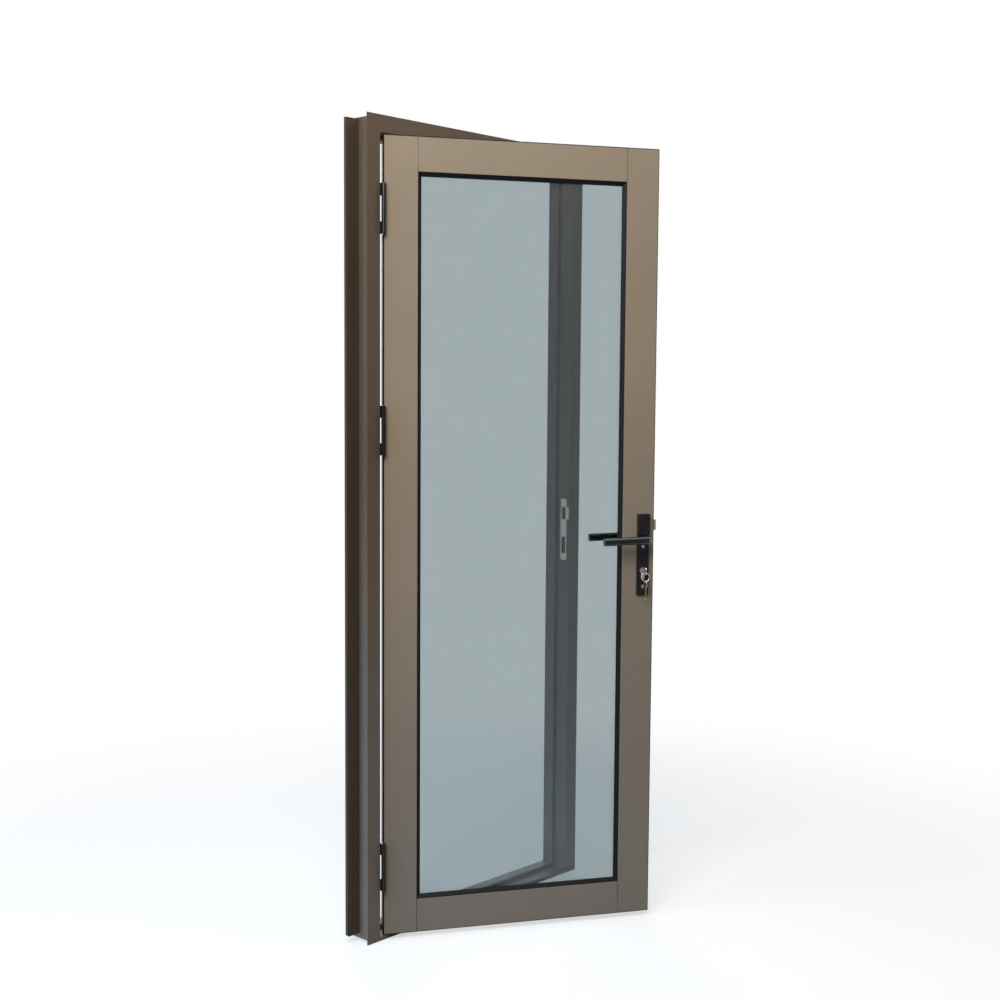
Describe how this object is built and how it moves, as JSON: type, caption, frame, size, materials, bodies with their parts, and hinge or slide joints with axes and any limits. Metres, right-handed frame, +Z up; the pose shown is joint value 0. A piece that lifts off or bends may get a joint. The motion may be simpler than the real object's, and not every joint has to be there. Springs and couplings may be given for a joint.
{
  "type": "glazed door with frame",
  "caption": "Glazed aluminium door leaf in its own rebated frame with lip and rear trims, butt hinges, lever handles and a key lock; the leaf swings and the lock works.",
  "frame": {"origin": "middle of the sill's underside, midway between the frame's front and back", "axes": "+X from the hinge jamb to the strike jamb, -Y out of the front, +Z up"},
  "size_m": [0.888, 0.5005, 2.1],
  "materials": {
    "bronze_aluminium": "satin bronze-brown powder coat",
    "bare_aluminium": "mill finish",
    "black_painted_steel": "satin black",
    "black_aluminium": "satin black coat",
    "black_rubber": "matt",
    "black_plastic": "matt",
    "clear_glass": "clear, faintly blue-green",
    "bright_steel": "brushed",
    "brass": "satin"
  },
  "bodies": {
    "frame": {"hinge_jamb": "bronze_aluminium", "strike_jamb": "bronze_aluminium", "head": "bronze_aluminium", "sill": "bronze_aluminium", "corner_cleats": "bare_aluminium", "hinge_trim": "bronze_aluminium", "strike_trim": "bronze_aluminium", "trim_screws": "black_painted_steel", "weather_seals": "black_rubber", "strike_plate": "bright_steel", "strike_screws": "bright_steel", "top_hinge_frame_leaf": "black_painted_steel", "middle_hinge_frame_leaf": "black_painted_steel", "bottom_hinge_frame_leaf": "black_painted_steel", "top_hinge_pin": "black_painted_steel", "middle_hinge_pin": "black_painted_steel", "bottom_hinge_pin": "black_painted_steel", "hinge_frame_screws": "black_painted_steel"},
    "leaf": {"hinge_stile": "bronze_aluminium", "lock_stile": "bronze_aluminium", "top_rail": "bronze_aluminium", "bottom_rail": "bronze_aluminium", "rail_cleats": "bare_aluminium", "stile_caps": "black_plastic", "outer_pane": "clear_glass", "inner_pane": "clear_glass", "glass_spacer": "bare_aluminium", "outer_gasket": "black_rubber", "inner_gasket": "black_rubber", "setting_blocks": "black_plastic", "leaf_seal": "black_rubber", "top_bead": "bronze_aluminium", "bottom_bead": "bronze_aluminium", "hinge_side_bead": "bronze_aluminium", "lock_side_bead": "bronze_aluminium", "top_hinge_door_leaf": "black_painted_steel", "middle_hinge_door_leaf": "black_painted_steel", "bottom_hinge_door_leaf": "black_painted_steel", "hinge_door_screws": "black_painted_steel", "lock_case": "bright_steel", "lock_faceplate": "bright_steel", "faceplate_screws": "bright_steel", "outer_plate": "black_aluminium", "inner_plate": "black_aluminium", "plate_screws": "bright_steel", "lock_cylinder": "bright_steel", "inner_plug": "bright_steel", "cylinder_screw": "bright_steel"},
    "handle": {"outer_lever": "black_aluminium", "inner_lever": "black_aluminium", "spindle": "bright_steel", "lock_follower": "bright_steel"},
    "latch": {"latch_bolt": "bright_steel"},
    "deadbolt": {"deadbolt": "bright_steel"},
    "key": {"cylinder_plug": "bright_steel", "cylinder_cam": "bright_steel", "key": "bright_steel"},
    "key_ring": {"key_ring": "bright_steel"},
    "spare_key": {"spare_key": "brass"}
  },
  "joints": [
    {"name": "door_swing", "type": "hinge", "parent": "frame", "child": "leaf", "pos_m": [-0.365, -0.049, 1.03], "axis": [0, 0, -1], "range_deg": [-32.4, 137.6]},
    {"name": "lever_turn", "type": "hinge", "parent": "leaf", "child": "handle", "pos_m": [0.23957, -0.39714, 1.033], "axis": [-0.5358, -0.8443, 0], "range_deg": [0, 40], "stiffness_Nm_per_rad": 2, "springref_deg": -20.05},
    {"name": "latch_slide", "type": "slide", "parent": "leaf", "child": "latch", "axis": [-0.8443, 0.5358, 0], "range_m": [0, 0.013]},
    {"name": "key_turn", "type": "hinge", "parent": "leaf", "child": "key", "pos_m": [0.23957, -0.39714, 0.948], "axis": [-0.5358, -0.8443, 0], "range_deg": [0, 150]},
    {"name": "deadbolt_slide", "type": "slide", "parent": "leaf", "child": "deadbolt", "axis": [0.8443, -0.5358, 0], "range_m": [0, 0.02]},
    {"name": "ring_swing", "type": "hinge", "parent": "key", "child": "key_ring", "pos_m": [0.21278, -0.43936, 0.946], "axis": [0.8443, -0.5358, 0], "range_deg": [-40, 8]},
    {"name": "spare_key_swing", "type": "hinge", "parent": "key_ring", "child": "spare_key", "pos_m": [0.21278, -0.43936, 0.9205], "axis": [0.8443, -0.5358, 0], "range_deg": [-40, 5]}
  ],
  "couplings": [
    {"joint": "latch_slide", "follows": "lever_turn", "m_per_rad": 0.01862},
    {"joint": "deadbolt_slide", "follows": "key_turn", "m_per_rad": 0.007639}
  ]
}
